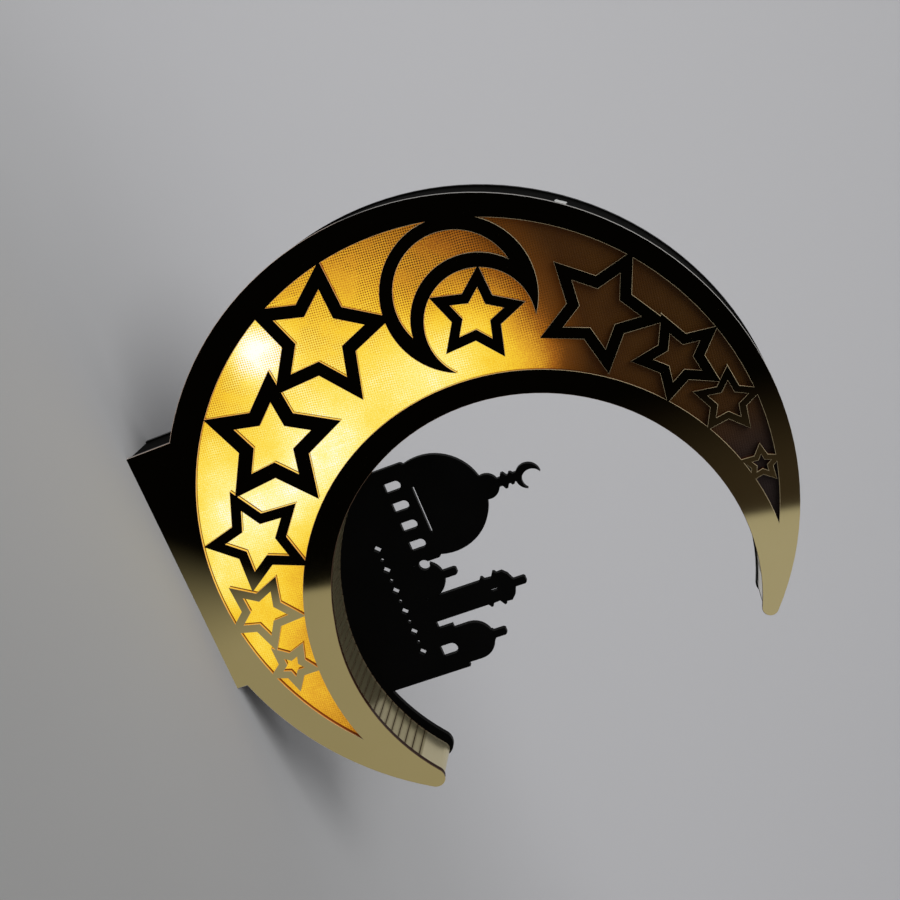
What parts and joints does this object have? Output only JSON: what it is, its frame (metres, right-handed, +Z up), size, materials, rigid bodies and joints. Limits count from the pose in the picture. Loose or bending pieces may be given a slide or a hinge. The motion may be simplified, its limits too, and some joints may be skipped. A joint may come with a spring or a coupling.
{
  "type": "eid crescent ornament",
  "caption": "Lit crescent-moon table ornament with cut stars over an amber sheet, a mosque silhouette in its opening and a battery light inside.",
  "frame": {"origin": "middle of the foot's underside", "axes": "+Z up, the front faces -Y, the crescent opens towards +X"},
  "size_m": [0.1869, 0.0269, 0.199],
  "materials": {
    "gold_mirror": "gold mirror acrylic, laser cut",
    "amber_sheet": "translucent amber sheet with an embossed dotted texture",
    "gold_strip": "pale gold mirrored strip",
    "black_strip": "black acrylic strip, bent",
    "splice_strip": "strip offcut, glued",
    "black_sheet": "black acrylic, laser cut",
    "case_plastic": "moulded black plastic with a fine spark texture",
    "foam_tape": "double-sided tape",
    "cell_jacket": "plain printed cell jacket with a copper band",
    "contact_metal": "nickel-plated spring steel",
    "switch_metal": "stamped switch housing",
    "knob_plastic": "moulded knob",
    "resistor_body": "lacquered resistor",
    "red_insulation": "PVC insulation",
    "black_insulation": "PVC insulation",
    "cord_insulation": "thin clear PVC cord",
    "pad_glue": "hot-melt glue",
    "diode_lens": "clear epoxy lens, warm white"
  },
  "bodies": {
    "light_box": {"front_plate": "gold_mirror", "amber_sheet": "amber_sheet", "upper_outer_wall": "black_strip", "lower_outer_wall": "black_strip", "tip_outer_wall": "black_strip", "inner_wall": "gold_strip", "seam_splice": "splice_strip", "foot_left_end": "black_strip", "foot_right_end": "black_strip", "back_plate": "black_sheet", "foot_floor": "black_sheet", "battery_case": "case_plastic", "case_tape": "foam_tape", "cell_1": "cell_jacket", "cell_2": "cell_jacket", "bridge_contact": "contact_metal", "bridge_spring": "contact_metal", "positive_contact": "contact_metal", "negative_contact": "contact_metal", "negative_spring": "contact_metal", "switch_body": "switch_metal", "resistor": "resistor_body", "red_lead": "red_insulation", "black_lead": "black_insulation", "led_cord": "cord_insulation", "cord_pads": "pad_glue", "led_1": "diode_lens", "led_2": "diode_lens", "led_3": "diode_lens", "led_4": "diode_lens", "led_5": "diode_lens"},
    "door": {"battery_door": "case_plastic"},
    "knob": {"switch_knob": "knob_plastic"}
  },
  "joints": [
    {"name": "door_slide", "type": "slide", "parent": "light_box", "child": "door", "axis": [0.7986, 0, 0.6018], "range_m": [0, 0.052]},
    {"name": "switch_slide", "type": "slide", "parent": "light_box", "child": "knob", "axis": [0.6018, 0, -0.7986], "range_m": [0, 0.002]}
  ]
}
